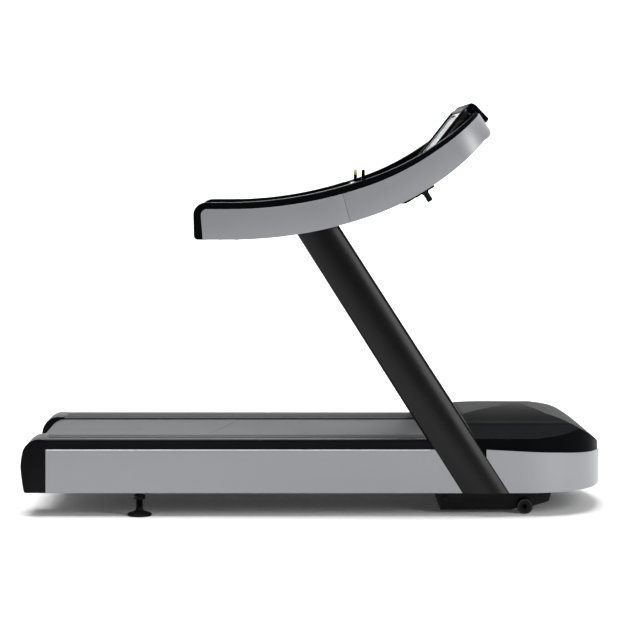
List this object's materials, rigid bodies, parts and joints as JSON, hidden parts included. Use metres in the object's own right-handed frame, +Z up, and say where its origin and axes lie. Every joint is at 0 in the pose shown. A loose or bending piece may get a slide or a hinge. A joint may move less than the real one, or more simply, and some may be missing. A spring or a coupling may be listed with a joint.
{
  "type": "motorised treadmill",
  "caption": "Motor-driven treadmill with a low flat running deck, foot rails, a black nose hood, raked posts, horseshoe handrail arms and a tilted display console.",
  "frame": {"origin": "on the floor, under the centre of the bounding box", "axes": "+X towards the motor hood, where the runner faces; +Y towards the runner's left; +Z up"},
  "size_m": [2.2, 0.94, 1.536],
  "materials": {
    "silver_shell": "satin silver-grey paint on moulded panels",
    "arm_silver": "satin silver paint",
    "black_shell": "black moulded plastic, fine grain, satin",
    "black_frame": "black powder coat",
    "post_black": "semi-gloss black coat",
    "soft_grip": "soft moulded grip",
    "belt": "woven-backed running belt, fine diamond texture",
    "tread": "ribbed foot strip",
    "deck": "waxed fibreboard",
    "cushion": "moulded rubber",
    "steel": "turned steel",
    "zinc": "zinc plated",
    "aluminium": "machined and cast aluminium",
    "drive_rubber": "ribbed belt",
    "motor_paint": "dark grey paint",
    "actuator_case": "dark grey paint",
    "wheel": "hard polyurethane tyre on a grey hub",
    "bezel": "gloss black",
    "glass": "dark display glass",
    "trim": "black lacquered side trims",
    "chrome": "polished plate",
    "key": "satin dark key caps",
    "red": "red cap",
    "foot": "rubber foot on a steel stud",
    "lever": "black with a lime inlay",
    "rocker": "black rocker"
  },
  "bodies": {
    "base": {"accessory_hook": "black_shell", "arm_core_left": "black_shell", "arm_core_right": "black_shell", "arm_cover_front": "arm_silver", "arm_cover_left": "arm_silver", "arm_cover_right": "arm_silver", "arm_grips": "soft_grip", "belly_pan": "black_frame", "bottle_holders": "black_shell", "console_hood": "black_shell", "console_housing": "black_shell", "console_trims": "trim", "deck_board": "deck", "deck_cushions": "cushion", "display_bezel": "bezel", "display_screen": "glass", "drive_belt": "drive_rubber", "drive_controller": "aluminium", "foot_rail_left": "black_shell", "foot_rail_right": "black_shell", "foot_treads": "tread", "frame_crossmembers": "black_frame", "frame_rails": "black_frame", "front_shroud": "silver_shell", "grab_bar": "black_frame", "lift_actuator": "actuator_case", "motor_bracket": "black_frame", "motor_hood": "black_shell", "motor_housing": "motor_paint", "pan_screws": "zinc", "post_left": "post_black", "post_right": "post_black", "power_inlet": "black_shell", "pulse_sensors": "chrome", "rear_cap_left": "black_shell", "rear_cap_right": "black_shell", "roller_shafts": "steel", "running_belt": "belt", "side_panel_left": "silver_shell", "side_panel_right": "silver_shell", "tension_bolts": "zinc"},
    "front_roller": {"front_roller": "steel", "roller_pulley": "aluminium"},
    "rear_roller": {"rear_roller": "steel"},
    "motor_rotor": {"motor_rotor": "steel", "motor_pulley": "aluminium"},
    "lift_frame": {"lift_frame": "black_frame"},
    "lift_rod": {"lift_rod": "steel"},
    "lift_wheel_left": {"lift_wheel_left": "wheel"},
    "lift_wheel_right": {"lift_wheel_right": "wheel"},
    "rear_foot_left": {"rear_foot_left": "foot"},
    "rear_foot_right": {"rear_foot_right": "foot"},
    "key_speed_up": {"key_speed_up": "key"},
    "key_speed_down": {"key_speed_down": "key"},
    "key_incline_up": {"key_incline_up": "key"},
    "key_incline_down": {"key_incline_down": "key"},
    "stop_button": {"stop_button": "red"},
    "lever_left": {"lever_left": "lever"},
    "lever_right": {"lever_right": "lever"},
    "power_switch": {"power_switch": "rocker"}
  },
  "joints": [
    {"name": "front_roller_spin", "type": "hinge", "parent": "base", "child": "front_roller", "pos_m": [0.63, 0, 0.2227], "axis": [0, 1, 0], "continuous": true},
    {"name": "rear_roller_spin", "type": "hinge", "parent": "base", "child": "rear_roller", "pos_m": [-1.008, 0, 0.2227], "axis": [0, 1, 0], "continuous": true},
    {"name": "motor_spin", "type": "hinge", "parent": "base", "child": "motor_rotor", "pos_m": [0.88, 0, 0.225], "axis": [0, 1, 0], "continuous": true},
    {"name": "lift_hinge", "type": "hinge", "parent": "base", "child": "lift_frame", "pos_m": [0.479, 0, 0.052], "axis": [0, 1, 0], "range_deg": [0, 25]},
    {"name": "lift_rod_slide", "type": "slide", "parent": "base", "child": "lift_rod", "axis": [-0.1628, 0, -0.9867], "range_m": [0, 0.111]},
    {"name": "wheel_left_spin", "type": "hinge", "parent": "lift_frame", "child": "lift_wheel_left", "pos_m": [0.775, 0.3755, 0.029], "axis": [0, 1, 0], "continuous": true},
    {"name": "wheel_right_spin", "type": "hinge", "parent": "lift_frame", "child": "lift_wheel_right", "pos_m": [0.775, -0.3755, 0.029], "axis": [0, 1, 0], "continuous": true},
    {"name": "foot_left_screw", "type": "slide", "parent": "base", "child": "rear_foot_left", "axis": [0, 0, -1], "range_m": [-0.01, 0.02]},
    {"name": "foot_right_screw", "type": "slide", "parent": "base", "child": "rear_foot_right", "axis": [0, 0, -1], "range_m": [-0.01, 0.02]},
    {"name": "speed_up_press", "type": "slide", "parent": "base", "child": "key_speed_up", "axis": [0.213, 0, -0.977], "range_m": [0, 0.002], "stiffness_N_per_m": 800},
    {"name": "speed_down_press", "type": "slide", "parent": "base", "child": "key_speed_down", "axis": [0.213, 0, -0.977], "range_m": [0, 0.002], "stiffness_N_per_m": 800},
    {"name": "incline_up_press", "type": "slide", "parent": "base", "child": "key_incline_up", "axis": [0.213, 0, -0.977], "range_m": [0, 0.002], "stiffness_N_per_m": 800},
    {"name": "incline_down_press", "type": "slide", "parent": "base", "child": "key_incline_down", "axis": [0.213, 0, -0.977], "range_m": [0, 0.002], "stiffness_N_per_m": 800},
    {"name": "stop_press", "type": "slide", "parent": "base", "child": "stop_button", "axis": [0.213, 0, -0.977], "range_m": [0, 0.006], "stiffness_N_per_m": 1200},
    {"name": "lever_left_tilt", "type": "hinge", "parent": "base", "child": "lever_left", "pos_m": [0.172, 0.388, 1.237], "axis": [0, 1, 0], "range_deg": [-12, 12], "stiffness_Nm_per_rad": 0.5},
    {"name": "lever_right_tilt", "type": "hinge", "parent": "base", "child": "lever_right", "pos_m": [0.172, -0.388, 1.237], "axis": [0, 1, 0], "range_deg": [-12, 12], "stiffness_Nm_per_rad": 0.5},
    {"name": "power_rocker", "type": "hinge", "parent": "base", "child": "power_switch", "pos_m": [1.079, 0.027, 0.131], "axis": [0, 1, 0], "range_deg": [0, 14]}
  ],
  "couplings": [
    {"joint": "front_roller_spin", "follows": "motor_spin", "ratio": 0.5},
    {"joint": "rear_roller_spin", "follows": "motor_spin", "ratio": 0.5},
    {"joint": "lift_rod_slide", "follows": "lift_hinge", "m_per_rad": 0.25435}
  ]
}
